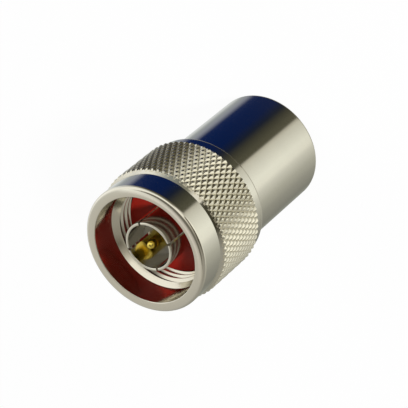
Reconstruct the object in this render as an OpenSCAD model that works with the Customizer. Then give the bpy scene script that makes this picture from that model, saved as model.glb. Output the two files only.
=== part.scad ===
// Coaxial line termination with an N plug interface: a captive knurled coupling nut,
// a slotted outer contact, a gold centre pin and a rod resistor sealed in the barrel.
// It stands on the flat end of its barrel, Z runs along its axis and the plug faces up.

/* [Overall] */
// Length from the barrel's flat end to the nut's front face
total_len = 35; // [32:0.5:42]
// Diameter of the plain barrel
barrel_d = 17.7; // [17:0.1:19]
// Radius on the barrel's rear edge
barrel_edge = 0.6; // [0.2:0.1:1.2]

/* [Coupling nut] */
// Diameter over the knurl
nut_d = 21; // [20.6:0.1:22]
// Length of the nut
nut_len = 16.6; // [16:0.1:18]
// How far the knurl stands above the smooth band and collar
knurl_rise = 0.5; // [0.3:0.05:0.7]
// Length of the smooth front band
nut_band_len = 4.4; // [3.6:0.1:5]
// Length of the smooth rear collar
nut_collar_len = 2.3; // [1.6:0.1:2.8]
// Radius on the nut's outer edges
nut_edge = 0.5; // [0.2:0.1:0.6]
// Radial step from the smooth entry down to the thread's crests
entry_step = 0.9; // [0.7:0.05:1.2]
// Depth of the smooth entry
entry_depth = 4.4; // [3.4:0.1:5]
// Minor diameter of the 5/8-24 thread
thread_minor_d = 15; // [14.8:0.05:15.1]
// Full depth of the thread, from the nut's front face
thread_depth = 10.6; // [10:0.1:11]
// Radial depth of the relief behind the thread
relief_step = 0.6; // [0.5:0.05:0.9]

/* [Retaining ring] */
// Thickness of the split ring
ring_t = 0.8; // [0.6:0.05:1]
// How far the split ring stands into the nut's bore wall
ring_bite = 0.5; // [0.4:0.05:0.7]
// Depth of the ring's centre behind the nut's front face
ring_depth = 13.2; // [12.8:0.1:13.8]
// Opening between the ring's ends, in degrees
ring_gap = 24; // [12:1:40]

/* [Plug interface] */
// Outside diameter of the slotted outer contact
contact_d = 7.74; // [7.5:0.02:7.9]
// Wall of the slotted outer contact
contact_wall = 0.45; // [0.35:0.05:0.6]
// How far the outer contact's tip lies behind the nut's front face
contact_drop = 1.1; // [0.6:0.1:2]
// Number of spring fingers
fingers = 4; // [3:1:6]
// Width of the slots between the fingers
slot_w = 0.35; // [0.2:0.05:0.6]
// Length of the slots
slot_len = 5.4; // [3:0.1:6]
// Turn of the first slot about the axis, in degrees
slot_turn = 64.4; // [0:0.1:90]
// Diameter of the centre pin's tip
pin_d = 1.65; // [1.6:0.01:1.68]
// Diameter of the centre pin behind its shoulder
pin_base_d = 3.04; // [2.9:0.02:3.1]
// How far the pin's tip lies behind the outer contact's tip
pin_drop = 0.15; // [0.05:0.05:1]
// Length of the pin's rounded nose
pin_nose = 1.35; // [0.6:0.05:1.6]
// How far the pin's shoulder lies behind the outer contact's tip
pin_shoulder = 5.3; // [5:0.1:5.6]

/* [Gasket] */
// Depth of the gasket's front face behind the nut's front face
gasket_depth = 7.7; // [7:0.1:8.2]
// Thickness of the gasket
gasket_t = 2; // [1.2:0.1:2.4]

/* [Load] */
// Diameter of the ceramic resistor rod
rod_d = 3; // [2.4:0.1:3.2]
// Length of the ceramic resistor rod
rod_len = 9.6; // [8:0.1:10]
// Wall of the metal caps on the rod
cap_t = 0.25; // [0.2:0.05:0.4]
// Length of each metal cap
cap_len = 1.8; // [1.4:0.1:2.2]

/* [Fits] */
// Running gap between the nut and the neck it turns on
run_gap = 0.12; // [0.08:0.01:0.2]
// Axial gap between the nut and the barrel behind it
end_gap = 0.3; // [0.2:0.05:0.4]
// Radial gap of a pressed or screwed seat
seat_gap = 0.02; // [0.01:0.01:0.04]

/* [Hidden] */
$fn = 96;
eps = 0.01;

// diameters that follow from the ones above
nut_band_d = nut_d - 2 * knurl_rise;
entry_d = thread_minor_d + 2 * entry_step;
relief_d = thread_minor_d + 2 * relief_step;
ring_d = thread_minor_d + 2 * ring_bite;
contact_bore_d = contact_d - 2 * contact_wall;
nut_edge_r = min(nut_edge, (nut_band_d - entry_d) / 4);

// depths behind the nut's front face
collar_depth = nut_len - nut_collar_len;
barrel_depth = nut_len + end_gap;
contact_root_depth = gasket_depth;
contact_flange_depth = gasket_depth + gasket_t;
contact_flange_t = 1;
contact_rear_depth = contact_flange_depth + 5.8;
bead_depth = contact_flange_depth + 0.9;
bead_len = 4;
pin_rear_depth = contact_rear_depth + 0.6;
spigot_rear_depth = barrel_depth + 4.7;
rod_depth = pin_rear_depth + cap_t + 0.4;
sleeve_rear_depth = rod_depth + rod_len - cap_len / 2;
plug_rear_depth = rod_depth + rod_len + cap_t + 1.6;

// radii of the pieces inside
neck_r = thread_minor_d / 2 - run_gap;
ring_groove_floor = ring_d / 2 - 1.35;
ring_side_gap = 0.15;
contact_root_r = contact_d / 2 + 0.25;
contact_flange_r = contact_d / 2 + 1.2;
contact_spigot_r = contact_d / 2 + 0.8;
contact_lip_r = contact_bore_d / 2 - 0.5;
pin_neck_r = pin_base_d / 2 - 0.25;
stub_r = pin_d / 2;
stub_len = 2;
cap_r = rod_d / 2 + cap_t;
line_bore_r = contact_bore_d / 2 + 0.1;
spigot_r = neck_r - 0.8;
cavity_r = spigot_r - 1.4;
grip_slot_w = 0.4;
grip_wall = 0.7;
chamfer = 0.2;

// Points of a round corner, from angle a to angle b about its centre
function corner(r, z, radius, a, b, steps = 8) =
    [for (i = [0 : steps]) let (t = a + (b - a) * i / steps) [r + radius * cos(t), z + radius * sin(t)]];

// Height of a depth behind the nut's front face
function up(depth) = total_len - depth;

// A plain ring between two depths
module ring_between(inner_r, outer_r, front, rear) {
    translate([0, 0, up(rear)])
        rotate_extrude()
            translate([inner_r, 0])
                square([outer_r - inner_r, rear - front]);
}

// A plain round between two depths
module rod_between(r, front, rear) {
    translate([0, 0, up(rear)]) cylinder(r = r, h = rear - front);
}

// A cone between two depths, given its radius at each
module cone_between(front_r, rear_r, front, rear) {
    translate([0, 0, up(rear)]) cylinder(r1 = rear_r, r2 = front_r, h = rear - front);
}

// Evenly spaced cuts from the front, for the fingers of a contact
module finger_slots(count, width, reach, front, rear, turn) {
    for (i = [0 : count - 1])
        rotate([0, 0, turn + i * 360 / count])
            translate([0, -width / 2, up(rear)])
                cube([reach, width, rear - front + eps]);
}

// The nut, seen as half a section: outside from the front face to the rear, then the bore back
module nut_section() {
    band_r = nut_band_d / 2;
    knurl_r = nut_d / 2;
    polygon(concat(
        [[entry_d / 2 + chamfer / 2, up(0)]],
        corner(band_r - nut_edge_r, up(nut_edge_r), nut_edge_r, 90, 0),
        [[band_r, up(nut_band_len)],
         [knurl_r, up(nut_band_len + knurl_rise)],
         [knurl_r, up(collar_depth)],
         [band_r, up(collar_depth)]],
        corner(band_r - nut_edge_r, up(nut_len - nut_edge_r), nut_edge_r, 0, -90),
        [[thread_minor_d / 2 + chamfer, up(nut_len)],
         [thread_minor_d / 2, up(nut_len - chamfer)],
         [thread_minor_d / 2, up(entry_depth + entry_step)],
         [entry_d / 2, up(entry_depth)],
         [entry_d / 2, up(chamfer / 2)]]));
}

module coupling_nut() {
    groove_r = ring_d / 2 + ring_side_gap;
    groove_half = ring_t / 2 + ring_side_gap;
    color("silver")
        difference() {
            rotate_extrude() nut_section();
            ring_between(thread_minor_d / 4, relief_d / 2, thread_depth, thread_depth + 1);
            ring_between(thread_minor_d / 4, groove_r, ring_depth - groove_half, ring_depth + groove_half);
        }
}

module retaining_ring() {
    color("darkgoldenrod")
        difference() {
            ring_between(ring_groove_floor + seat_gap, ring_d / 2,
                         ring_depth - ring_t / 2, ring_depth + ring_t / 2);
            translate([0, 0, up(ring_depth + ring_t)])
                rotate([0, 0, -ring_gap / 2])
                    rotate_extrude(angle = ring_gap)
                        square([ring_d, 2 * ring_t]);
        }
}

// Plain closed barrel: a threaded mouth for the neck, a cavity for the load and a solid end
module barrel() {
    r = barrel_d / 2;
    cavity_rear = plug_rear_depth;
    color("silver")
        difference() {
            rotate_extrude()
                polygon(concat(
                    [[0, 0]],
                    corner(r - barrel_edge, barrel_edge, barrel_edge, -90, 0),
                    [[r, up(barrel_depth + chamfer)],
                     [r - chamfer, up(barrel_depth)],
                     [0, up(barrel_depth)]]));
            rod_between(spigot_r + seat_gap, barrel_depth - eps, spigot_rear_depth + 0.4);
            rod_between(cavity_r + seat_gap, barrel_depth, cavity_rear);
        }
}

// Turned neck that carries the nut on its ring, holds the contact and screws into the barrel
module neck() {
    color("gainsboro")
        difference() {
            union() {
                rod_between(neck_r, contact_flange_depth, barrel_depth);
                rod_between(spigot_r, barrel_depth - eps, spigot_rear_depth);
            }
            ring_between(ring_groove_floor, neck_r + 1,
                         ring_depth - ring_t / 2 - ring_side_gap, ring_depth + ring_t / 2);
            rod_between(contact_flange_r + seat_gap, contact_flange_depth - eps,
                        contact_flange_depth + contact_flange_t);
            rod_between(contact_spigot_r + seat_gap, contact_flange_depth, contact_rear_depth);
            rod_between(line_bore_r, contact_flange_depth, spigot_rear_depth + eps);
        }
}

// Spring outer contact: slotted tube, a root for the gasket, a flange behind it and a pressed spigot
module outer_contact() {
    tip_r = contact_d / 2;
    tip_round = (contact_d - contact_bore_d) / 6;
    rear = contact_rear_depth;
    flange_rear = contact_flange_depth + contact_flange_t;
    color("silver")
        difference() {
            rotate_extrude()
                polygon(concat(
                    [[contact_bore_d / 2, up(contact_drop + tip_round)]],
                    [[contact_bore_d / 2 + tip_round, up(contact_drop)]],
                    corner(tip_r - tip_round, up(contact_drop + tip_round), tip_round, 90, 0),
                    [[tip_r, up(contact_root_depth)],
                     [contact_root_r, up(contact_root_depth)],
                     [contact_root_r, up(contact_flange_depth)],
                     [contact_flange_r, up(contact_flange_depth)],
                     [contact_flange_r, up(flange_rear)],
                     [contact_spigot_r, up(flange_rear)],
                     [contact_spigot_r, up(rear)],
                     [contact_lip_r, up(rear)],
                     [contact_lip_r, up(bead_depth + bead_len)],
                     [contact_bore_d / 2, up(bead_depth + bead_len)]]));
            finger_slots(fingers, slot_w, contact_d, contact_drop - 1, contact_drop + slot_len, slot_turn);
        }
}

module gasket() {
    color([0.55, 0.07, 0.04])
        ring_between(contact_root_r + seat_gap, neck_r, gasket_depth, gasket_depth + gasket_t);
}

// Gold-plated pin: long round nose, shoulder, neck for the bead and a slotted socket for the load
module centre_pin() {
    tip = contact_drop + pin_drop;
    shoulder = contact_drop + pin_shoulder;
    tip_r = pin_d / 14;
    nose_steps = 10;
    color("gold")
        difference() {
            rotate_extrude()
                polygon(concat(
                    [[0, up(tip)]],
                    [for (i = [0 : nose_steps]) let (t = 90 - 90 * i / nose_steps)
                        [tip_r + (pin_d / 2 - tip_r) * cos(t), up(tip + pin_nose * (1 - sin(t)))]],
                    [[pin_d / 2, up(shoulder)],
                     [pin_base_d / 2 - chamfer, up(shoulder)],
                     [pin_base_d / 2, up(shoulder + chamfer)],
                     [pin_base_d / 2, up(bead_depth)],
                     [pin_neck_r, up(bead_depth)],
                     [pin_neck_r, up(bead_depth + bead_len)],
                     [pin_base_d / 2, up(bead_depth + bead_len)],
                     [pin_base_d / 2, up(pin_rear_depth)],
                     [stub_r + seat_gap, up(pin_rear_depth)],
                     [stub_r + seat_gap, up(pin_rear_depth - stub_len - 0.2)],
                     [0, up(pin_rear_depth - stub_len - 0.2)]]));
            translate([-pin_base_d, -grip_slot_w / 2, up(pin_rear_depth + eps)])
                cube([2 * pin_base_d, grip_slot_w, 1.4]);
        }
}

module bead() {
    color("white")
        ring_between(pin_neck_r + seat_gap, contact_bore_d / 2 - seat_gap, bead_depth, bead_depth + bead_len);
}

module resistor_rod() {
    color("tan") rod_between(rod_d / 2, rod_depth, rod_depth + rod_len);
}

// Cup on the rod's front end, with the stub that the pin's socket grips
module front_cap() {
    color("lightgray") {
        rod_between(stub_r, pin_rear_depth - stub_len, rod_depth - cap_t);
        difference() {
            rod_between(cap_r, rod_depth - cap_t, rod_depth + cap_len);
            rod_between(rod_d / 2 + seat_gap, rod_depth, rod_depth + cap_len + eps);
        }
    }
}

module rear_cap() {
    rod_end = rod_depth + rod_len;
    color("lightgray")
        difference() {
            rod_between(cap_r, rod_end - cap_len, rod_end + cap_t);
            rod_between(rod_d / 2 + seat_gap, rod_end - cap_len - eps, rod_end);
        }
}

// Outer conductor round the rod: its bore narrows towards the grounded end
module taper_sleeve() {
    color("goldenrod")
        difference() {
            rod_between(cavity_r, spigot_rear_depth, sleeve_rear_depth);
            cone_between(line_bore_r, cap_r + 0.3, spigot_rear_depth, sleeve_rear_depth);
            rod_between(cap_r + 0.3, sleeve_rear_depth - eps, sleeve_rear_depth + eps);
        }
}

// Ground plug: a disc that fills the cavity's end, with a slotted collet round the rear cap
module ground_plug() {
    grip_rear = rod_depth + rod_len + cap_t;
    color("goldenrod")
        difference() {
            rod_between(cavity_r, sleeve_rear_depth, plug_rear_depth);
            ring_between(cap_r + grip_wall, cavity_r - grip_wall, sleeve_rear_depth - eps, grip_rear);
            rod_between(cap_r + seat_gap, sleeve_rear_depth - eps, grip_rear);
            for (turn = [0, 90])
                rotate([0, 0, turn])
                    translate([-cap_r - grip_wall, -grip_slot_w / 2, up(grip_rear)])
                        cube([2 * (cap_r + grip_wall), grip_slot_w, grip_rear - sleeve_rear_depth + eps]);
        }
}

coupling_nut();
retaining_ring();
barrel();
neck();
outer_contact();
gasket();
centre_pin();
bead();
resistor_rod();
front_cap();
rear_cap();
taper_sleeve();
ground_plug();
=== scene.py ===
import math

import bpy
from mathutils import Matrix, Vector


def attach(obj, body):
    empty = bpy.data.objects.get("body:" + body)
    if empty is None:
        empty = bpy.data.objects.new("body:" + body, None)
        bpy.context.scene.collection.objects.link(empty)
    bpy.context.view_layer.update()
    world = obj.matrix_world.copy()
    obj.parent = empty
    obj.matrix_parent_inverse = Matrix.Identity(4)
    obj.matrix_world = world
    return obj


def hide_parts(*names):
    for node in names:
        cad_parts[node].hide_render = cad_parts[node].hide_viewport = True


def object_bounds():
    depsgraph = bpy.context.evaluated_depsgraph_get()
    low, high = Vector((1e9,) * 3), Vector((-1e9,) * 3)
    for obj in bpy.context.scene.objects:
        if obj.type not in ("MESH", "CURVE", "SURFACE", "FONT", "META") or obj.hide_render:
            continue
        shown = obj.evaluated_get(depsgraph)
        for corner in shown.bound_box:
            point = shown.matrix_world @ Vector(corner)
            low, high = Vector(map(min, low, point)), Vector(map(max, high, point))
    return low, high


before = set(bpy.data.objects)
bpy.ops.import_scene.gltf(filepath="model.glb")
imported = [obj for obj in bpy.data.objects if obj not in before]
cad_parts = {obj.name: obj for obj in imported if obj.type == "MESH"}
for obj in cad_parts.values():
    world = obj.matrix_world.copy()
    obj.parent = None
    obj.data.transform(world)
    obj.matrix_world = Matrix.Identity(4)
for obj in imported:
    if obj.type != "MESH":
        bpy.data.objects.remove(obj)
cadLow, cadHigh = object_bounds()
print("frame loaded")

mm = 0.001  # the pieces' values are in millimetres, and the scene is in metres
noseHeight = cadHigh.z / mm  # height of the nut's front face


def depth(value):
    # height of a depth behind the nut's front face
    return noseHeight - value


# modelling helpers
def onlySelect(piece):
    bpy.ops.object.select_all(action='DESELECT')
    piece.select_set(True)
    bpy.context.view_layer.objects.active = piece


def clearSelection(mesh):
    for part in (mesh.polygons, mesh.edges, mesh.vertices):
        part.foreach_set('select', [False] * len(part))


def selectRings(piece, rings, near=0.004):
    # object mode: selects the ring edges that lie near each radius and height given
    mesh = piece.data
    clearSelection(mesh)
    ringOf = {}
    for vertex in mesh.vertices:
        radius, height = math.hypot(vertex.co.x, vertex.co.y) / mm, vertex.co.z / mm
        for number, (ringRadius, ringHeight) in enumerate(rings):
            if abs(radius - ringRadius) < near and abs(height - ringHeight) < near:
                ringOf[vertex.index] = number
    for edge in mesh.edges:
        first, second = (ringOf.get(end, -1) for end in edge.vertices)
        edge.select = first >= 0 and first == second


def selectPoints(piece, wanted):
    # object mode: selects the points that pass the test on their place
    clearSelection(piece.data)
    for vertex in piece.data.vertices:
        vertex.select = wanted(vertex.co)


def closeHoles():
    # edit mode: caps each open end and turns the faces outward
    bpy.ops.mesh.select_all(action='DESELECT')
    bpy.ops.mesh.select_non_manifold()
    bpy.ops.mesh.fill_holes(sides=0)
    bpy.ops.mesh.select_all(action='SELECT')
    bpy.ops.mesh.normals_make_consistent(inside=False)


def turned(name, profile, sides):
    # lathe work: one ring, pushed along the axis and opened or closed for each step of the section
    radius, height = profile[0]
    bpy.ops.object.select_all(action='DESELECT')
    bpy.ops.mesh.primitive_circle_add(vertices=sides, radius=radius * mm, location=(0, 0, height * mm))
    piece = bpy.context.object
    piece.name = piece.data.name = name
    bpy.ops.object.transform_apply(location=True)
    bpy.ops.object.mode_set(mode='EDIT')
    bpy.ops.mesh.select_mode(type='EDGE')
    bpy.ops.mesh.select_all(action='SELECT')
    for nextRadius, nextHeight in profile[1:]:
        lift = (nextHeight - height) * mm
        bpy.ops.mesh.extrude_edges_move(TRANSFORM_OT_translate={'value': (0, 0, lift)})
        if nextRadius != radius:
            grow = nextRadius / radius
            bpy.ops.transform.resize(value=(grow, grow, 1), center_override=(0, 0, nextHeight * mm))
        radius, height = nextRadius, nextHeight
    bpy.ops.mesh.select_all(action='SELECT')
    bpy.ops.mesh.remove_doubles(threshold=0.001 * mm)
    closeHoles()
    bpy.ops.object.mode_set(mode='OBJECT')
    return piece


def roundRings(piece, rings, size, steps):
    # rounds the ring edges at each radius and height given
    selectRings(piece, rings)
    onlySelect(piece)
    bpy.ops.object.mode_set(mode='EDIT')
    bpy.ops.mesh.select_mode(type='EDGE')
    bpy.ops.mesh.bevel(offset=size * mm, offset_type='OFFSET', segments=steps, affect='EDGES')
    bpy.ops.object.mode_set(mode='OBJECT')


def applyModifier(piece, kind, **settings):
    onlySelect(piece)
    modifier = piece.modifiers.new(kind.title(), kind)
    for key, value in settings.items():
        setattr(modifier, key, value)
    bpy.ops.object.modifier_apply(modifier=modifier.name)


def cut(piece, tool, operation='DIFFERENCE'):
    applyModifier(piece, 'BOOLEAN', operation=operation, solver='MANIFOLD', object=tool)
    bpy.data.objects.remove(tool)


def mergeClose(piece, reach):
    # joins points that a cut left within reach of each other, and closes any gap that leaves
    onlySelect(piece)
    bpy.ops.object.mode_set(mode='EDIT')
    bpy.ops.mesh.select_all(action='SELECT')
    bpy.ops.mesh.remove_doubles(threshold=reach * mm)
    bpy.ops.mesh.dissolve_degenerate(threshold=reach * mm)
    bpy.ops.mesh.delete_loose()
    bpy.ops.mesh.select_all(action='SELECT')
    bpy.ops.mesh.fill_holes(sides=8)
    bpy.ops.object.mode_set(mode='OBJECT')


def shade(piece, material, angle=32):
    onlySelect(piece)
    bpy.ops.object.shade_smooth_by_angle(angle=math.radians(angle))
    # flat runs stay flat beside their edges
    applyModifier(piece, 'WEIGHTED_NORMAL', keep_sharp=True, weight=80)
    piece.data.materials.clear()
    piece.data.materials.append(material)


# shader helpers
class Wire:
    # one socket of a shader, so that maths on it is written plainly
    def __init__(self, finish, socket):
        self.finish = finish
        self.socket = socket

    def maths(self, operation, first, second=0.5):
        return self.finish.add('ShaderNodeMath', {'operation': operation}, {0: first, 1: second})

    def __add__(self, other):
        return self.maths('ADD', self, other)

    def __radd__(self, other):
        return self.maths('ADD', other, self)

    def __sub__(self, other):
        return self.maths('SUBTRACT', self, other)

    def __rsub__(self, other):
        return self.maths('SUBTRACT', other, self)

    def __mul__(self, other):
        return self.maths('MULTIPLY', self, other)

    def __rmul__(self, other):
        return self.maths('MULTIPLY', other, self)


class Finish:
    # one node tree, for a material or the world
    def __init__(self, owner):
        owner.use_nodes = True
        self.owner = owner
        self.tree = owner.node_tree
        self.tree.nodes.clear()

    def add(self, kind, settings=None, links=None, out=0):
        node = self.tree.nodes.new(kind)
        for key, value in (settings or {}).items():
            if key == 'stops':
                ramp = node.color_ramp
                while len(ramp.elements) > 1:
                    ramp.elements.remove(ramp.elements[-1])
                for number, (place, colour) in enumerate(value):
                    stop = ramp.elements[0] if number == 0 else ramp.elements.new(place)
                    stop.position = place
                    stop.color = (*colour, 1)
            else:
                setattr(node, key, value)
        for key, value in (links or {}).items():
            if isinstance(value, Wire):
                self.tree.links.new(value.socket, node.inputs[key])
            else:
                node.inputs[key].default_value = value
        return Wire(self, node.outputs[out]) if node.outputs else None

    def mixColour(self, factor, first, second):
        # 6, 7 and output 2 are the Mix node's colour sockets
        return self.add('ShaderNodeMix', {'data_type': 'RGBA'}, {'Factor': factor, 6: first, 7: second}, 2)

    def noise(self, vector, scale, detail, roughness):
        return self.add('ShaderNodeTexNoise', None,
                        {'Vector': vector, 'Scale': scale, 'Detail': detail, 'Roughness': roughness}, 'Fac')

    def rise(self, value, low, high):
        # 0 at low, 1 at high, eased between
        return self.add('ShaderNodeMapRange', {'interpolation_type': 'SMOOTHSTEP'},
                        {'Value': value, 'From Min': low, 'From Max': high}, 'Result')

    def place(self):
        return self.add('ShaderNodeTexCoord', out='Object')

    def lathe(self, place):
        # distance from the axis and height, which turned marks follow
        flat = self.add('ShaderNodeVectorMath', {'operation': 'MULTIPLY'}, {0: place, 1: (1, 1, 0)})
        out = self.add('ShaderNodeVectorMath', {'operation': 'LENGTH'}, {0: flat}, 'Value')
        up = self.add('ShaderNodeSeparateXYZ', None, {0: place}, 'Z')
        return self.add('ShaderNodeCombineXYZ', None, {0: out, 1: 0.0, 2: up})

    def bump(self, height, reliefDepth):
        return self.add('ShaderNodeBump', None,
                        {'Height': height, 'Distance': reliefDepth * mm, 'Strength': 1.0}, 'Normal')

    def surface(self, fixed, changing):
        shader = self.add('ShaderNodeBsdfPrincipled', None, {**fixed, **changing})
        self.add('ShaderNodeOutputMaterial', None, {'Surface': shader})
        return self.owner


def newMaterial(name):
    return Finish(bpy.data.materials.new(name))


# finishes
def platedMetal(name, values):
    # plate over turned metal: fine tool marks round the axis, faint ripples, hairlines and a slight cast
    finish = newMaterial(name)
    place = finish.place()
    lathe = finish.lathe(place)
    toolMarks = finish.noise(lathe, values['markScale'], detail=3.0, roughness=0.6)
    ripple = finish.noise(place, values['rippleScale'], detail=2.0, roughness=0.5)
    cloud = finish.noise(place, values['cloudScale'], detail=4.0, roughness=0.55)
    hairVector = finish.add('ShaderNodeMapping', None, {
        'Vector': place, 'Rotation': values['hairTurn'], 'Scale': values['hairStretch']})
    hair = finish.noise(hairVector, values['hairScale'], detail=2.0, roughness=0.5)
    colour = finish.mixColour(cloud, (*values['colour'], 1), (*values['castColour'], 1))
    rough = values['roughness'] + cloud * values['roughSpread'] + toolMarks * values['markRough']
    height = (toolMarks * values['markHeight'] + ripple * values['rippleHeight']
              + hair * values['hairHeight'])
    if 'grooveRadius' in values:  # painted shade toward the bottom of a groove: a darker colour there, and rougher
        out = finish.add('ShaderNodeSeparateXYZ', None, {0: lathe}, 'X')
        groove = 1 - finish.rise(out, (values['grooveRadius'] - values['grooveSoft']) * mm,
                                 (values['grooveRadius'] + values['grooveSoft']) * mm)
        # painted shade: the colour darkens toward the groove's bottom
        colour = finish.mixColour(groove, colour, (*values['grooveShadeColour'], 1))
        rough = rough + groove * values['grooveRough']
    return finish.surface({'Metallic': 1.0},
                          {'Base Color': colour, 'Roughness': rough,
                           'Normal': finish.bump(height, values['reliefDepth'])})


nickelValues = {
    'colour': (0.82, 0.79, 0.70), 'castColour': (0.77, 0.75, 0.68),
    'roughness': 0.07, 'roughSpread': 0.05, 'markRough': 0.04,
    'markScale': 9000, 'markHeight': 0.010, 'rippleScale': 900, 'rippleHeight': 0.10,
    'cloudScale': 240, 'hairScale': 1500, 'hairHeight': 0.004,
    'hairTurn': (0.5, 0.9, 0.3), 'hairStretch': (1.0, 9.0, 1.0), 'reliefDepth': 0.01,
}
nickel = platedMetal('nickelPlate', nickelValues)
boredNickel = platedMetal('nickelPlateBored', {**nickelValues, 'roughness': 0.10, 'markHeight': 0.10})
# the knurl's plate: rougher, with a lighter, warmer copy of the nickel colour that is painted light, and
# painted shade toward the bottom of each groove
rolledNickelPaintedLight = platedMetal('nickelPlateRolledPaintedLight', {
    **nickelValues, 'colour': (0.92, 0.89, 0.77), 'castColour': (0.87, 0.84, 0.73),
    'roughness': 0.18, 'markHeight': 0.05,
    'grooveRadius': 10.325, 'grooveSoft': 0.04, 'grooveShadeColour': (0.86, 0.81, 0.67), 'grooveRough': 0.12})

goldValues = {
    **nickelValues, 'colour': (0.90, 0.72, 0.17), 'castColour': (0.82, 0.63, 0.12),
    'roughness': 0.10, 'roughSpread': 0.08, 'markRough': 0.05,
    'markHeight': 0.012, 'rippleScale': 1800, 'rippleHeight': 0.05, 'cloudScale': 900, 'hairScale': 3000,
}
gold = platedMetal('goldPlate', goldValues)

bronze = platedMetal('springBronze', {
    **goldValues, 'colour': (0.66, 0.46, 0.25), 'castColour': (0.55, 0.36, 0.19), 'roughness': 0.25})
tin = platedMetal('tinPlate', {
    **nickelValues, 'colour': (0.72, 0.72, 0.71), 'castColour': (0.60, 0.60, 0.60), 'roughness': 0.35})

siliconeValues = {
    'colour': (0.35, 0.018, 0.009), 'deepColour': (0.25, 0.011, 0.007), 'ior': 1.41,
    'roughness': 0.38, 'grainRough': 0.14, 'grainScale': 9000, 'cloudScale': 700, 'cloudRelief': 2.0,
    'reliefDepth': 0.006,
}


def mouldedRubber(values):
    # moulded silicone: a fine even grain and a slow change of depth in the colour
    finish = newMaterial('redSilicone')
    place = finish.place()
    cloud = finish.noise(place, values['cloudScale'], detail=3.0, roughness=0.5)
    grain = finish.noise(place, values['grainScale'], detail=3.0, roughness=0.6)
    colour = finish.mixColour(cloud, (*values['colour'], 1), (*values['deepColour'], 1))
    relief = finish.bump(grain + cloud * values['cloudRelief'], values['reliefDepth'])
    return finish.surface({'IOR': values['ior']}, {
        'Base Color': colour, 'Roughness': values['roughness'] + grain * values['grainRough'],
        'Normal': relief})


plasticValues = {
    'colour': (0.86, 0.85, 0.82), 'shadeColour': (0.78, 0.77, 0.74), 'ior': 1.38,
    'roughness': 0.42, 'markRough': 0.2, 'markScale': 7000, 'cloudScale': 600, 'reliefDepth': 0.008,
}


def turnedPlastic(values):
    # turned fluoropolymer: milky, with fine tool marks round the axis
    finish = newMaterial('whiteFluoropolymer')
    place = finish.place()
    marks = finish.noise(finish.lathe(place), values['markScale'], detail=3.0, roughness=0.6)
    cloud = finish.noise(place, values['cloudScale'], detail=3.0, roughness=0.5)
    colour = finish.mixColour(cloud, (*values['colour'], 1), (*values['shadeColour'], 1))
    return finish.surface({'IOR': values['ior']}, {
        'Base Color': colour, 'Roughness': values['roughness'] + marks * values['markRough'],
        'Normal': finish.bump(marks, values['reliefDepth'])})


ceramicValues = {
    'colour': (0.60, 0.45, 0.31), 'speckColour': (0.44, 0.32, 0.21), 'speckShare': 0.6, 'cloudShare': 0.4,
    'roughness': 0.45, 'speckRough': 0.3, 'speckScale': 4000, 'cloudScale': 500, 'reliefDepth': 0.02,
}


def coatedCeramic(values):
    # film on a ceramic rod: speckled and matt
    finish = newMaterial('coatedCeramic')
    place = finish.place()
    speckle = finish.noise(place, values['speckScale'], detail=4.0, roughness=0.7)
    cloud = finish.noise(place, values['cloudScale'], detail=3.0, roughness=0.5)
    colour = finish.mixColour(speckle * values['speckShare'] + cloud * values['cloudShare'],
                              (*values['colour'], 1), (*values['speckColour'], 1))
    return finish.surface({}, {
        'Base Color': colour, 'Roughness': values['roughness'] + speckle * values['speckRough'],
        'Normal': finish.bump(speckle, values['reliefDepth'])})


redSilicone = mouldedRubber(siliconeValues)
fluoropolymer = turnedPlastic(plasticValues)
ceramic = coatedCeramic(ceramicValues)
print("finishes made")

# coupling nut
nutValues = {
    'sides': 192, 'bandRadius': 10.0, 'bandLength': 4.4, 'length': 16.6, 'edge': 0.5, 'edgeSteps': 6,
    'shoulderRise': 0.32, 'shoulderRear': 4.92, 'shoulderFlat': 5.1, 'shoulderFoot': 5.2, 'collarFront': 14.1,
    'entryRadius': 8.4, 'entryDepth': 4.4, 'boreRadius': 7.5, 'threadDepth': 10.6, 'reliefRadius': 8.1,
    'reliefLength': 1, 'ringDepth': 13.2, 'ringHalf': 0.55, 'ringRadius': 8.15, 'lipEdge': 0.12, 'lipSteps': 5,
    'faceFall': 0.09, 'mergeReach': 0.003, 'creaseAngle': 24,
    'boredWithin': 8.45, 'boredFront': 0.2, 'rolledOutside': 10.24, 'rolledFront': 4.95, 'rolledRear': 14.28,
}


def makeNutBlank():
    # section from the entry's lip over the front face and down the outside, then back up the bore
    v = nutValues
    cone = v['entryRadius'] - v['boreRadius']
    blank = turned('couplingNut', [
        (v['entryRadius'], depth(0)), (v['bandRadius'], depth(v['faceFall'])),
        (v['bandRadius'], depth(v['bandLength'])),
        (v['bandRadius'] + v['shoulderRise'], depth(v['shoulderRear'])),
        (v['bandRadius'] + v['shoulderRise'], depth(v['shoulderFlat'])),
        (v['bandRadius'], depth(v['shoulderFoot'])), (v['bandRadius'], depth(v['collarFront'])),
        (v['bandRadius'], depth(v['length'])), (v['boreRadius'], depth(v['length'])),
        (v['boreRadius'], depth(v['ringDepth'] + v['ringHalf'])),
        (v['ringRadius'], depth(v['ringDepth'] + v['ringHalf'])),
        (v['ringRadius'], depth(v['ringDepth'] - v['ringHalf'])),
        (v['boreRadius'], depth(v['ringDepth'] - v['ringHalf'])),
        (v['boreRadius'], depth(v['threadDepth'] + v['reliefLength'])),
        (v['reliefRadius'], depth(v['threadDepth'] + v['reliefLength'])),
        (v['reliefRadius'], depth(v['threadDepth'])), (v['boreRadius'], depth(v['threadDepth'])),
        (v['boreRadius'], depth(v['entryDepth'] + cone)), (v['entryRadius'], depth(v['entryDepth'])),
        (v['entryRadius'], depth(0))], v['sides'])
    roundRings(blank, [(v['bandRadius'], depth(v['faceFall'])), (v['bandRadius'], depth(v['length']))],
               v['edge'], v['edgeSteps'])
    roundRings(blank, [(v['entryRadius'], depth(0)), (v['boreRadius'], depth(v['length']))],
               v['lipEdge'], v['lipSteps'])
    return blank


threadValues = {'pitch': 1.058, 'rootRadius': 8.05, 'rootHalf': 0.13, 'airRadius': 7.4, 'flankAngle': 30,
                'start': 11.1, 'turns': 6, 'steps': 96}


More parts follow.
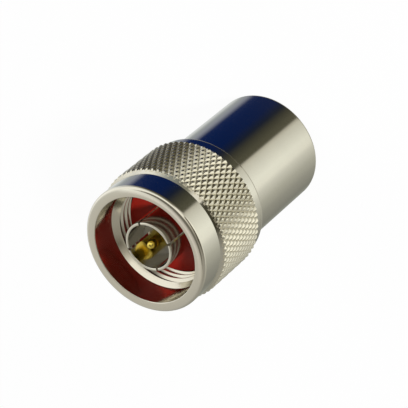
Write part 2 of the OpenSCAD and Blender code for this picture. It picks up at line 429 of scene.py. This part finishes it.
def makeThreadCutter():
    # a V section swept along the helix, both ends in air
    v = threadValues
    airHalf = v['rootHalf'] + (v['rootRadius'] - v['airRadius']) * math.tan(math.radians(v['flankAngle']))
    middle = (v['rootRadius'] + v['airRadius']) / 2
    bpy.ops.object.select_all(action='DESELECT')
    bpy.ops.mesh.primitive_plane_add(size=1, location=(0, 0, 0))
    cutter = bpy.context.object
    cutter.name = 'threadCutter'
    bpy.ops.object.mode_set(mode='EDIT')
    bpy.ops.mesh.select_all(action='SELECT')
    bpy.ops.mesh.delete(type='ONLY_FACE')
    bpy.ops.mesh.select_all(action='SELECT')
    bpy.ops.transform.rotate(value=math.radians(90), orient_axis='X', center_override=(0, 0, 0))
    bpy.ops.transform.resize(value=((v['rootRadius'] - v['airRadius']) * mm, 1, 2 * airHalf * mm),
                             center_override=(0, 0, 0))
    bpy.ops.object.mode_set(mode='OBJECT')
    selectPoints(cutter, lambda place: place.x > 0)
    bpy.ops.object.mode_set(mode='EDIT')
    bpy.ops.mesh.select_mode(type='VERT')
    bpy.ops.transform.resize(value=(1, 1, v['rootHalf'] / airHalf), center_override=(0, 0, 0))
    bpy.ops.mesh.select_all(action='SELECT')
    bpy.ops.transform.translate(value=(middle * mm, 0, depth(v['start']) * mm))
    bpy.ops.object.mode_set(mode='OBJECT')
    applyModifier(cutter, 'SCREW', axis='Z', screw_offset=v['pitch'] * mm, iterations=v['turns'],
                  steps=v['steps'], render_steps=v['steps'], use_merge_vertices=False)
    bpy.ops.object.mode_set(mode='EDIT')
    bpy.ops.mesh.select_mode(type='EDGE')
    closeHoles()
    bpy.ops.object.mode_set(mode='OBJECT')
    return cutter


knurlValues = {
    'around': 68, 'pitch': 1.79, 'rows': 7, 'crestRadius': 10.5, 'rootRadius': 10.29, 'baseRadius': 9.85,
    'footMargin': 0.05, 'crestShare': 0.30, 'crestEdge': 0.05, 'crestSteps': 2, 'front': 4.4, 'rear': 14.3,
    'lap': 0.12, 'trimFoot': 0.3, 'trimStep': 0.19, 'trimStepDepth': 0.305, 'trimTop': 0.8, 'trimTopDepth': 1.3,
}


def makeKnurl():
    # one diamond on its stem, then two staggered columns, then a full turn of them
    v = knurlValues
    halfTurn = math.pi / v['around']
    bpy.ops.object.select_all(action='DESELECT')
    bpy.ops.mesh.primitive_plane_add(size=math.sqrt(2) * mm, location=(0, 0, 0))
    knurl = bpy.context.object
    knurl.name = 'knurl'
    bpy.ops.object.mode_set(mode='EDIT')
    bpy.ops.mesh.select_all(action='SELECT')
    bpy.ops.transform.rotate(value=math.radians(45), orient_axis='Z', center_override=(0, 0, 0))
    bpy.ops.transform.rotate(value=math.radians(90), orient_axis='Y', center_override=(0, 0, 0))
    bpy.ops.transform.resize(value=(1, v['baseRadius'] * math.sin(halfTurn), v['pitch'] / 2),
                             center_override=(0, 0, 0))
    bpy.ops.transform.translate(value=(v['baseRadius'] * mm, 0, 0))
    bpy.ops.object.mode_set(mode='OBJECT')
    selectPoints(knurl, lambda place: abs(place.y) > 0.1 * mm)  # the two side corners
    bpy.ops.object.mode_set(mode='EDIT')
    bpy.ops.mesh.select_mode(type='VERT')
    bpy.ops.transform.translate(value=(v['baseRadius'] * (math.cos(halfTurn) - 1) * mm, 0, 0))
    bpy.ops.mesh.select_mode(type='FACE')
    bpy.ops.mesh.select_all(action='SELECT')
    inner = v['baseRadius']
    for outer in (v['rootRadius'], v['crestRadius']):
        grow = outer / inner
        bpy.ops.mesh.extrude_region_move()
        bpy.ops.transform.resize(value=(grow, grow, 1), center_override=(0, 0, 0))
        inner = outer
    bpy.ops.transform.resize(value=(1, v['crestShare'], v['crestShare']),
                             center_override=(v['crestRadius'] * mm, 0, 0))
    bpy.ops.mesh.bevel(offset=v['crestEdge'] * mm, segments=v['crestSteps'], affect='EDGES')
    bpy.ops.mesh.select_all(action='SELECT')
    bpy.ops.mesh.normals_make_consistent(inside=False)
    middle = depth((v['front'] + v['rear']) / 2) - (v['rows'] - 0.5) * v['pitch'] / 2
    bpy.ops.transform.translate(value=(0, 0, middle * mm))
    bpy.ops.object.mode_set(mode='OBJECT')
    applyModifier(knurl, 'ARRAY', count=v['rows'], use_relative_offset=False, use_constant_offset=True,
                  constant_offset_displace=(0, 0, v['pitch'] * mm))
    bpy.ops.object.mode_set(mode='EDIT')
    bpy.ops.mesh.select_all(action='SELECT')
    bpy.ops.mesh.duplicate_move(TRANSFORM_OT_translate={'value': (0, 0, v['pitch'] / 2 * mm)})
    bpy.ops.transform.rotate(value=halfTurn, orient_axis='Z', center_override=(0, 0, 0))
    bpy.ops.object.mode_set(mode='OBJECT')
    bpy.ops.object.select_all(action='DESELECT')
    bpy.ops.object.empty_add(rotation=(0, 0, 2 * halfTurn))
    step = bpy.context.object
    applyModifier(knurl, 'ARRAY', count=v['around'], use_relative_offset=False, use_object_offset=True,
                  offset_object=step)
    bpy.data.objects.remove(step)
    bpy.ops.object.mode_set(mode='EDIT')
    bpy.ops.mesh.select_mode(type='FACE')
    bpy.ops.mesh.select_all(action='SELECT')
    bpy.ops.mesh.remove_doubles(threshold=0.002 * mm)
    bpy.ops.mesh.select_all(action='DESELECT')
    bpy.ops.mesh.select_interior_faces()
    bpy.ops.object.mode_set(mode='OBJECT')
    for face in knurl.data.polygons:  # only the walls between diamonds go, and each foot stays
        if math.hypot(face.center.x, face.center.y) < (v['baseRadius'] + v['footMargin']) * mm:
            face.select = False
    bpy.ops.object.mode_set(mode='EDIT')
    bpy.ops.mesh.delete(type='FACE')
    bpy.ops.object.mode_set(mode='OBJECT')
    # trimmed to length, with a cut front end, and sunk a little into the blank
    foot, top = nutValues['bandRadius'] - v['lap'], nutValues['bandRadius'] + v['trimTop']
    trim = turned('knurlTrim', [
        (foot, depth(v['front'] + v['trimFoot'])),
        (nutValues['bandRadius'] + v['trimStep'], depth(v['front'] + v['trimStepDepth'])),
        (top, depth(v['front'] + v['trimTopDepth'])), (top, depth(v['rear'])), (foot, depth(v['rear'])),
        (foot, depth(v['front'] + v['trimFoot']))], nutValues['sides'])
    cut(knurl, trim, 'INTERSECT')
    return knurl


def finishNut(nut):
    # the bore is cut and the knurl rolled, each rougher than the turned outside; the knurl also takes a lighter
    # colour, which is painted light, with painted shade in its grooves
    v = nutValues
    shade(nut, nickel, v['creaseAngle'])
    nut.data.materials.append(boredNickel)
    nut.data.materials.append(rolledNickelPaintedLight)
    for face in nut.data.polygons:
        centre = face.center / mm
        out = math.hypot(centre.x, centre.y)
        if out < v['boredWithin'] and centre.z < depth(v['boredFront']):
            face.material_index = 1
        elif out > v['rolledOutside'] and depth(v['rolledRear']) < centre.z < depth(v['rolledFront']):
            face.material_index = 2


couplingNut = makeNutBlank()
cut(couplingNut, makeKnurl(), 'UNION')
cut(couplingNut, makeThreadCutter())
mergeClose(couplingNut, nutValues['mergeReach'])
finishNut(couplingNut)
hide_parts('coupling_nut')
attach(couplingNut, 'nut')
print("coupling nut:", len(couplingNut.data.polygons), "faces")

# barrel
barrelValues = {'sides': 192, 'radius': 8.85, 'front': 16.9, 'frontEdge': 0.2, 'frontSteps': 2,
                'rearEdge': 0.6, 'rearSteps': 8, 'mouthRadius': 6.6, 'mouthRear': 22.0,
                'cavityRadius': 5.2, 'cavityRear': 31.0}


def makeBarrel():
    # a closed cup: its mouth takes the neck, and the load sits in the cavity behind
    v = barrelValues
    barrel = turned('plainBarrel', [
        (v['cavityRadius'], depth(v['cavityRear'])), (v['cavityRadius'], depth(v['mouthRear'])),
        (v['mouthRadius'], depth(v['mouthRear'])), (v['mouthRadius'], depth(v['front'])),
        (v['radius'], depth(v['front'])), (v['radius'], 0), (0, 0)], v['sides'])
    roundRings(barrel, [(v['radius'], 0)], v['rearEdge'], v['rearSteps'])
    roundRings(barrel, [(v['radius'], depth(v['front']))], v['frontEdge'], v['frontSteps'])
    return barrel


barrel = makeBarrel()
shade(barrel, nickel)
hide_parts('barrel')
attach(barrel, 'plug')

# slotted outer contact
contactValues = {'sides': 128, 'radius': 3.87, 'boreRadius': 3.42, 'tip': 1.1, 'tipEdge': 0.14, 'tipSteps': 4,
                 'root': 8.05, 'rootRadius': 4.12, 'flange': 9.7, 'flangeRadius': 5.07, 'flangeLength': 1.0,
                 'spigotRadius': 4.67, 'rear': 15.5, 'lipRadius': 2.92, 'beadRear': 14.6,
                 'slotWidth': 0.35, 'slotLength': 5.4, 'slotOverrun': 1, 'slotTurn': 64.4}


def makeOuterContact():
    # a spring sleeve with a flange and a pressed spigot, slotted into four fingers
    v = contactValues
    contact = turned('slottedContact', [
        (v['boreRadius'], depth(v['tip'])), (v['radius'], depth(v['tip'])), (v['radius'], depth(v['root'])),
        (v['rootRadius'], depth(v['root'])), (v['rootRadius'], depth(v['flange'])),
        (v['flangeRadius'], depth(v['flange'])), (v['flangeRadius'], depth(v['flange'] + v['flangeLength'])),
        (v['spigotRadius'], depth(v['flange'] + v['flangeLength'])), (v['spigotRadius'], depth(v['rear'])),
        (v['lipRadius'], depth(v['rear'])), (v['lipRadius'], depth(v['beadRear'])),
        (v['boreRadius'], depth(v['beadRear'])), (v['boreRadius'], depth(v['tip']))], v['sides'])
    roundRings(contact, [(v['radius'], depth(v['tip'])), (v['boreRadius'], depth(v['tip']))],
               v['tipEdge'], v['tipSteps'])
    for turn in (0, 90):  # a bar through the axis cuts two opposite slots
        bpy.ops.object.select_all(action='DESELECT')
        bpy.ops.mesh.primitive_cube_add(size=mm, location=(0, 0, 0))
        bar = bpy.context.object
        bpy.ops.object.mode_set(mode='EDIT')
        bpy.ops.mesh.select_all(action='SELECT')
        bpy.ops.transform.resize(value=(4 * v['radius'], v['slotWidth'], v['slotLength'] + v['slotOverrun']),
                                 center_override=(0, 0, 0))
        barMiddle = depth(v['tip'] + (v['slotLength'] - v['slotOverrun']) / 2)
        bpy.ops.transform.translate(value=(0, 0, barMiddle * mm))
        bpy.ops.object.mode_set(mode='OBJECT')
        bar.rotation_euler = (0, 0, math.radians(v['slotTurn'] + turn))
        bpy.ops.object.transform_apply(rotation=True)
        cut(contact, bar)
    return contact


outerContact = makeOuterContact()
shade(outerContact, nickel)
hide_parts('outer_contact')
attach(outerContact, 'plug')

# centre pin
pinValues = {'sides': 96, 'radius': 0.825, 'tip': 1.25, 'noseLength': 1.35, 'noseSteps': 12, 'tipRadius': 0.12,
             'noseProud': 0.0005, 'shoulder': 6.4, 'shoulderEdge': 0.2, 'shoulderSteps': 3, 'bodyRadius': 1.52,
             'bead': 10.6, 'beadRear': 14.6, 'neckRadius': 1.27, 'rear': 16.1}


def makeCentrePin():
    # a pin with a rounded nose, a shoulder, and a waist that the bead sits on
    v = pinValues
    nose = []  # a quarter of an ellipse, from the flat of the tip out to the pin's side
    for number in range(v['noseSteps'] + 1):
        angle = math.radians(90 - 90 / v['noseSteps'] * number)
        radius = v['tipRadius'] + (v['radius'] - v['tipRadius']) * math.cos(angle) + v['noseProud']
        nose.append((radius, depth(v['tip'] + v['noseLength'] * (1 - math.sin(angle)))))
    profile = nose + [
        (v['radius'], depth(v['shoulder'])), (v['bodyRadius'], depth(v['shoulder'])),
        (v['bodyRadius'], depth(v['bead'])), (v['neckRadius'], depth(v['bead'])),
        (v['neckRadius'], depth(v['beadRear'])), (v['bodyRadius'], depth(v['beadRear'])),
        (v['bodyRadius'], depth(v['rear'])), (0, depth(v['rear']))]
    pin = turned('goldPin', profile, v['sides'])
    roundRings(pin, [(v['bodyRadius'], depth(v['shoulder']))], v['shoulderEdge'], v['shoulderSteps'])
    return pin


centrePin = makeCentrePin()
shade(centrePin, gold)
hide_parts('centre_pin')
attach(centrePin, 'plug')

# gasket
gasketValues = {'sides': 128, 'lipRadius': 3.885, 'lipRear': 8.04, 'innerRadius': 4.14, 'outerRadius': 7.38,
                'front': 7.7, 'rear': 9.7, 'edge': 0.22, 'edgeSteps': 4, 'lipEdge': 0.06, 'lipSteps': 2,
                'creaseAngle': 40}


def makeGasket():
    # a flat ring with a thin lip that hugs the contact
    v = gasketValues
    rings = [(v['lipRadius'], depth(v['front'])), (v['outerRadius'], depth(v['front'])),
             (v['outerRadius'], depth(v['rear'])), (v['innerRadius'], depth(v['rear'])),
             (v['innerRadius'], depth(v['lipRear'])), (v['lipRadius'], depth(v['lipRear']))]
    gasket = turned('faceGasket', rings + rings[:1], v['sides'])
    roundRings(gasket, rings[1:3], v['edge'], v['edgeSteps'])
    roundRings(gasket, rings[:1], v['lipEdge'], v['lipSteps'])
    return gasket


gasket = makeGasket()
shade(gasket, redSilicone, gasketValues['creaseAngle'])
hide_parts('gasket')
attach(gasket, 'plug')
print("plug pieces modelled")

# pieces kept from the frame
keptFinishes = {'neck': nickel, 'retaining_ring': bronze, 'bead': fluoropolymer, 'resistor_rod': ceramic,
                'front_cap': tin, 'rear_cap': tin, 'taper_sleeve': bronze, 'ground_plug': bronze}
for nodeName, material in keptFinishes.items():
    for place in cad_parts[nodeName].material_slots:
        place.material = material
print("kept pieces finished")

# studio, with its places and sizes in metres
stageValues = {'floorSize': 3.0, 'floorColour': (0.93, 0.93, 0.93), 'floorGlow': 0.96}


def makeFloor():
    v = stageValues
    bpy.ops.object.select_all(action='DESELECT')
    bpy.ops.mesh.primitive_plane_add(size=v['floorSize'], location=(0, 0, 0))
    floor = bpy.context.object
    floor.name = 'floor'
    finish = newMaterial('paleFloor')
    matt = finish.add('ShaderNodeBsdfDiffuse', None, {'Color': (*v['floorColour'], 1)})
    glow = finish.add('ShaderNodeEmission', None, {'Color': (1, 1, 1, 1), 'Strength': 1.0})
    seen = finish.add('ShaderNodeLightPath', out='Is Camera Ray')
    mixed = finish.add('ShaderNodeMixShader', None, {0: seen * v['floorGlow'], 1: matt, 2: glow})
    finish.add('ShaderNodeOutputMaterial', None, {'Surface': mixed})
    floor.data.materials.append(finish.owner)
    floor.visible_glossy = False


# what shines in the plating: six rings of coloured cards round the studio, lowest first. Each card
# has its turn from the front in degrees, clockwise from above, and its colour. A ring takes over from
# the one before it as the direction's height, from -1 below to 1 above, goes from 'start' to 'full'
cardRings = {
    'nadir': {'cards': [
        (0, (0.50, 0.49, 0.41)), (40, (0.53, 0.52, 0.45)), (100, (0.52, 0.51, 0.45)),
        (180, (0.46, 0.46, 0.42)), (235, (0.34, 0.34, 0.33)), (262, (0.062, 0.060, 0.055)),
        (320, (0.060, 0.054, 0.030)), (342, (0.17, 0.16, 0.12))]},
    'low': {'start': -0.82, 'full': -0.76, 'cards': [
        (0, (0.64, 0.63, 0.55)), (16, (0.79, 0.79, 0.71)), (36, (0.96, 0.97, 0.88)), (50, (0.93, 0.93, 0.84)),
        (60, (0.72, 0.72, 0.65)), (82, (0.48, 0.48, 0.42)), (106, (0.33, 0.33, 0.29)),
        (140, (0.235, 0.235, 0.205)), (165, (0.29, 0.30, 0.26)), (187, (0.70, 0.72, 0.73)),
        (207, (0.66, 0.69, 0.69)), (222, (0.35, 0.38, 0.40)), (238, (0.27, 0.29, 0.36)),
        (252, (0.004, 0.016, 0.09)), (300, (0.002, 0.012, 0.075)), (318, (0.008, 0.014, 0.035)),
        (330, (0.045, 0.045, 0.035)), (345, (0.080, 0.078, 0.052)), (353, (0.082, 0.079, 0.052)),
        (357, (0.60, 0.58, 0.50))]},
    'level': {'start': -0.705, 'full': -0.65, 'cards': [
        (0, (0.68, 0.67, 0.59)), (18, (1.14, 1.11, 0.98)), (36, (1.02, 1.00, 0.88)), (50, (0.86, 0.84, 0.75)),
        (66, (0.72, 0.71, 0.63)), (84, (0.52, 0.51, 0.44)), (108, (0.38, 0.37, 0.32)),
        (137, (0.31, 0.31, 0.27)), (190, (0.46, 0.45, 0.41)), (212, (0.74, 0.73, 0.66)),
        (244, (0.92, 0.92, 0.88)), (258, (0.50, 0.50, 0.47)), (274, (0.24, 0.23, 0.19)),
        (286, (0.070, 0.060, 0.035)), (324, (0.085, 0.075, 0.045)), (336, (0.13, 0.12, 0.085)),
        (346, (0.18, 0.165, 0.125)), (354, (0.52, 0.50, 0.43))]},
    'eye': {'start': -0.2, 'full': -0.02, 'cards': [
        (0, (0.050, 0.046, 0.028)), (20, (0.050, 0.046, 0.028)), (42, (0.055, 0.050, 0.032)),
        (60, (0.26, 0.25, 0.21)), (74, (0.36, 0.35, 0.31)), (106, (0.35, 0.34, 0.30)),
        (137, (0.38, 0.37, 0.33)), (180, (0.60, 0.59, 0.56)), (223, (1.14, 1.15, 1.12)),
        (254, (0.98, 0.98, 0.95)), (278, (0.96, 0.95, 0.88)), (302, (0.32, 0.34, 0.32)),
        (322, (0.20, 0.20, 0.17)), (336, (0.26, 0.25, 0.19)), (345, (0.90, 0.87, 0.78)),
        (354, (0.90, 0.87, 0.78))]},
    'high': {'start': 0.3, 'full': 0.42, 'cards': [
        (0, (0.84, 0.80, 0.70)), (20, (0.44, 0.41, 0.34)), (42, (0.14, 0.125, 0.095)),
        (60, (0.28, 0.26, 0.22)), (80, (0.35, 0.33, 0.28)), (105, (0.34, 0.32, 0.27)),
        (150, (0.48, 0.47, 0.43)), (180, (0.56, 0.54, 0.48)), (200, (0.62, 0.61, 0.56)),
        (222, (0.88, 0.87, 0.82)), (245, (1.04, 1.02, 0.93)), (281, (1.04, 1.02, 0.94)),
        (318, (1.06, 1.03, 0.93)), (342, (1.03, 0.99, 0.88))]},
    'upper': {'start': 0.75, 'full': 0.775, 'cards': [
        (0, (0.84, 0.80, 0.70)), (60, (0.40, 0.38, 0.32)), (110, (0.42, 0.40, 0.35)),
        (158, (0.52, 0.50, 0.43)), (180, (0.76, 0.72, 0.66)), (203, (1.08, 1.10, 1.03)),
        (240, (1.00, 0.98, 0.90)), (300, (0.98, 0.95, 0.86))]},
}
worldValues = {'zenithColour': (0.17, 0.16, 0.13), 'zenithStart': 0.80, 'zenithFull': 0.90,
               'softLight': (0.14, 0.14, 0.14), 'backdrop': (1, 1, 1)}


def makeWorld():
    v = worldValues
    world = bpy.data.worlds.new('studio')
    bpy.context.scene.world = world
    finish = Finish(world)
    toward = finish.add('ShaderNodeTexCoord', out='Generated')
    parts = [finish.add('ShaderNodeSeparateXYZ', None, {0: toward}, axis) for axis in 'XYZ']
    turn = parts[0].maths('ARCTAN2', parts[0], parts[1])
    share = turn.maths('FRACT', turn * (0.5 / math.pi) + 1.5)  # 0 at the front, 1 after a full turn
    walls = None
    for name, ring in cardRings.items():
        stops = [(angle / 360, colour) for angle, colour in ring['cards']]
        cards = finish.add('ShaderNodeValToRGB', {'label': name + ' cards', 'stops': stops}, {'Fac': share})
        if walls is None:
            walls = cards
        else:
            walls = finish.mixColour(finish.rise(parts[2], ring['start'], ring['full']), walls, cards)
    zenith = finish.rise(parts[2], v['zenithStart'], v['zenithFull'])
    walls = finish.mixColour(zenith, walls, (*v['zenithColour'], 1))
    # shine sees the cards, the camera a white backdrop, and all else a plain soft grey
    path = [finish.add('ShaderNodeLightPath', out=kind) for kind in ('Is Camera Ray', 'Is Glossy Ray')]
    soft = finish.mixColour(path[1], (*v['softLight'], 1), walls)
    seen = finish.mixColour(path[0], soft, (*v['backdrop'], 1))
    background = finish.add('ShaderNodeBackground', None, {'Color': seen, 'Strength': 1.0})
    finish.add('ShaderNodeOutputWorld', None, {'Surface': background})


# every lamp points at one height above the floor's middle
lampValues = {
    'aimHeight': 0.02,
    'lamps': {
        'keyLamp': {'place': (-0.16, -0.37, 0.42), 'size': 0.07, 'power': 2.4},
        'topLamp': {'place': (0.0, -0.02, 0.50), 'size': 0.06, 'power': 0.22},
        'fillLamp': {'place': (0.42, 0.10, 0.38), 'size': 0.30, 'power': 0.5},
        'backLamp': {'place': (-0.35, 0.30, 0.34), 'size': 0.30, 'power': 0.4},
    },
}


def makeLamps():
    for name, v in lampValues['lamps'].items():
        bpy.ops.object.light_add(type='AREA', location=v['place'])
        lamp = bpy.context.object
        lamp.name = name
        lamp.data.shape = 'SQUARE'
        lamp.data.size = v['size']
        lamp.data.energy = v['power']
        aim = -lamp.location
        aim.z += lampValues['aimHeight']
        lamp.rotation_euler = aim.to_track_quat('-Z', 'Y').to_euler()
        lamp.visible_glossy = False


cameraValues = {'place': (-0.00045, -0.21967, 0.25688), 'turn': (-30.8536, 31.1807, -139.0855),
                'lens': 194.12, 'sensor': 36, 'nearest': 0.01}


def makeCamera():
    v = cameraValues
    data = bpy.data.cameras.new('camera')
    data.lens = v['lens']
    data.sensor_width = v['sensor']
    data.clip_start = v['nearest']
    camera = bpy.data.objects.new('camera', data)
    bpy.context.scene.collection.objects.link(camera)
    camera.location = v['place']
    camera.rotation_euler = [math.radians(angle) for angle in v['turn']]
    bpy.context.scene.camera = camera


makeFloor()
makeWorld()
makeLamps()
makeCamera()
bpy.context.scene.view_settings.view_transform = 'Standard'
print("studio ready")
